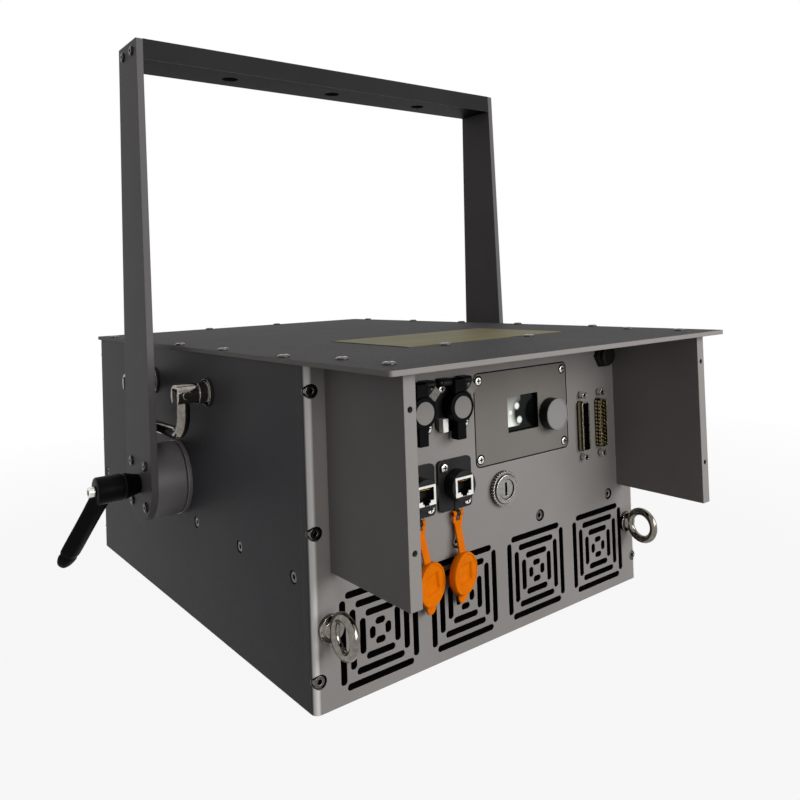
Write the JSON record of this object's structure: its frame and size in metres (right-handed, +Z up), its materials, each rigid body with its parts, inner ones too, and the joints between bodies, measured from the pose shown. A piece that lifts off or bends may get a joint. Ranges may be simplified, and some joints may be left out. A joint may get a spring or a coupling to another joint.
{
  "type": "laser show projector",
  "caption": "Box-shaped show laser with a tilting yoke, clamping levers, side handles and a hooded rear panel with connectors, a control knob and fan grilles.",
  "frame": {"origin": "on the surface that the case stands on, under the middle of the whole outline", "axes": "+Z up, +Y to the rear with the connectors, +X to the left seen from the front's inside, the side that the picture shows"},
  "size_m": [0.4666, 0.4914, 0.434],
  "materials": {
    "black_aluminium": "black anodised, fine satin",
    "bare_aluminium": "machined",
    "olive_plate": "bare satin plate",
    "black_plastic": "moulded, matte",
    "black_knob": "moulded, with a pale face",
    "supply_case": "light housing",
    "window_glass": "clear, coated",
    "mirror_glass": "coated",
    "board": "solder mask",
    "display": "lit display",
    "encoder_can": "moulded",
    "pale_plastic": "moulded",
    "orange_rubber": "matte",
    "plated_steel": "zinc plated",
    "chrome": "bright",
    "stainless": "stainless",
    "black_steel": "blackened",
    "black_lever": "powder coated, fine grain"
  },
  "bodies": {
    "case": {"bottom_plate": "black_aluminium", "front_plate": "black_aluminium", "rear_plate": "black_aluminium", "left_side_panel": "black_aluminium", "right_side_panel": "black_aluminium", "roof_plate": "black_aluminium", "hood_wings": "black_aluminium", "window_frame": "black_aluminium", "control_plate": "black_aluminium", "bench_plate": "bare_aluminium", "heatsink": "bare_aluminium", "laser_modules": "bare_aluminium", "optic_mounts": "bare_aluminium", "galvo_motors": "bare_aluminium", "blank_plate": "olive_plate", "fan_frames": "black_plastic", "power_connectors": "black_plastic", "data_sockets": "black_plastic", "vent_plug": "black_plastic", "power_supply": "supply_case", "window_glass": "window_glass", "beam_mirrors": "mirror_glass", "circuit_boards": "board", "display_module": "display", "encoder_body": "encoder_can", "power_inserts": "pale_plastic", "network_jacks": "pale_plastic", "data_ports": "plated_steel", "fitting_screws": "plated_steel", "key_switch_body": "chrome", "handle_posts": "stainless", "hinge_pins": "stainless", "eye_bolts": "stainless", "lever_screws": "stainless", "roof_screws": "stainless", "panel_screws": "black_steel", "pivot_studs": "black_steel"},
    "yoke": {"left_yoke_arm": "black_aluminium", "right_yoke_arm": "black_aluminium", "yoke_bar": "black_aluminium", "pivot_drums": "bare_aluminium", "yoke_screws": "stainless"},
    "left_lever": {"left_lever": "black_lever"},
    "right_lever": {"right_lever": "black_lever"},
    "left_handle": {"left_handle": "stainless"},
    "right_handle": {"right_handle": "stainless"},
    "left_lid": {"left_lid": "black_plastic"},
    "right_lid": {"right_lid": "black_plastic"},
    "left_cap": {"left_cap": "orange_rubber"},
    "right_cap": {"right_cap": "orange_rubber"},
    "encoder_rotor": {"encoder_rotor": "black_plastic"},
    "knob": {"knob": "black_knob", "knob_shaft": "plated_steel"},
    "key_barrel": {"key_switch_barrel": "chrome"},
    "fan_1": {"fan_rotor_1": "black_plastic"},
    "fan_2": {"fan_rotor_2": "black_plastic"},
    "fan_3": {"fan_rotor_3": "black_plastic"},
    "fan_4": {"fan_rotor_4": "black_plastic"},
    "line_mirror": {"line_mirror": "mirror_glass"},
    "frame_mirror": {"frame_mirror": "mirror_glass"}
  },
  "joints": [
    {"name": "yoke_tilt", "type": "hinge", "parent": "case", "child": "yoke", "pos_m": [0, -0.04075, 0.10195], "axis": [1, 0, 0], "range_deg": [-100, 100]},
    {"name": "left_lever_turn", "type": "hinge", "parent": "case", "child": "left_lever", "pos_m": [0, -0.04075, 0.10195], "axis": [1, 0, 0], "range_deg": [0, 180]},
    {"name": "right_lever_turn", "type": "hinge", "parent": "case", "child": "right_lever", "pos_m": [0, -0.04075, 0.10195], "axis": [1, 0, 0], "range_deg": [0, 180]},
    {"name": "left_handle_swing", "type": "hinge", "parent": "case", "child": "left_handle", "pos_m": [0.168, -0.04075, 0.17242], "axis": [0, 1, 0], "range_deg": [-5, 28]},
    {"name": "right_handle_swing", "type": "hinge", "parent": "case", "child": "right_handle", "pos_m": [-0.168, -0.04075, 0.17242], "axis": [0, 1, 0], "range_deg": [-28, 5]},
    {"name": "right_lid_hinge", "type": "hinge", "parent": "case", "child": "right_lid", "pos_m": [0.04139, 0.16665, 0.18007], "axis": [1, 0, 0], "range_deg": [0, 100], "stiffness_Nm_per_rad": 0.004, "springref_deg": -28.65},
    {"name": "right_cap_swing", "type": "hinge", "parent": "case", "child": "right_cap", "pos_m": [0.04139, 0.16305, 0.09328], "axis": [1, 0, 0], "range_deg": [0, 90]},
    {"name": "left_lid_hinge", "type": "hinge", "parent": "case", "child": "left_lid", "pos_m": [0.07289, 0.16665, 0.18007], "axis": [1, 0, 0], "range_deg": [0, 100], "stiffness_Nm_per_rad": 0.004, "springref_deg": -28.65},
    {"name": "left_cap_swing", "type": "hinge", "parent": "case", "child": "left_cap", "pos_m": [0.07289, 0.16305, 0.09328], "axis": [1, 0, 0], "range_deg": [0, 90]},
    {"name": "knob_turn", "type": "hinge", "parent": "case", "child": "encoder_rotor", "pos_m": [-0.05397, 0.16025, 0.14564], "axis": [0, 1, 0], "continuous": true},
    {"name": "knob_push", "type": "slide", "parent": "encoder_rotor", "child": "knob", "axis": [0, -1, 0], "range_m": [0, 0.0005], "stiffness_N_per_m": 2000, "springref_m": -0.0008},
    {"name": "key_turn", "type": "hinge", "parent": "case", "child": "key_barrel", "pos_m": [-0.00299, 0.16025, 0.10049], "axis": [0, -1, 0], "range_deg": [0, 90]},
    {"name": "fan_1_spin", "type": "hinge", "parent": "case", "child": "fan_1", "pos_m": [-0.1032, 0.15025, 0.0356], "axis": [0, 1, 0], "continuous": true},
    {"name": "fan_2_spin", "type": "hinge", "parent": "case", "child": "fan_2", "pos_m": [-0.0344, 0.15025, 0.0356], "axis": [0, 1, 0], "continuous": true},
    {"name": "fan_3_spin", "type": "hinge", "parent": "case", "child": "fan_3", "pos_m": [0.0344, 0.15025, 0.0356], "axis": [0, 1, 0], "continuous": true},
    {"name": "fan_4_spin", "type": "hinge", "parent": "case", "child": "fan_4", "pos_m": [0.1032, 0.15025, 0.0356], "axis": [0, 1, 0], "continuous": true},
    {"name": "line_scan", "type": "hinge", "parent": "case", "child": "line_mirror", "pos_m": [0, -0.16075, 0.1025], "axis": [0, 1, 0], "range_deg": [-15, 15]},
    {"name": "frame_scan", "type": "hinge", "parent": "case", "child": "frame_mirror", "pos_m": [0, -0.16075, 0.1185], "axis": [1, 0, 0], "range_deg": [-15, 15]}
  ]
}
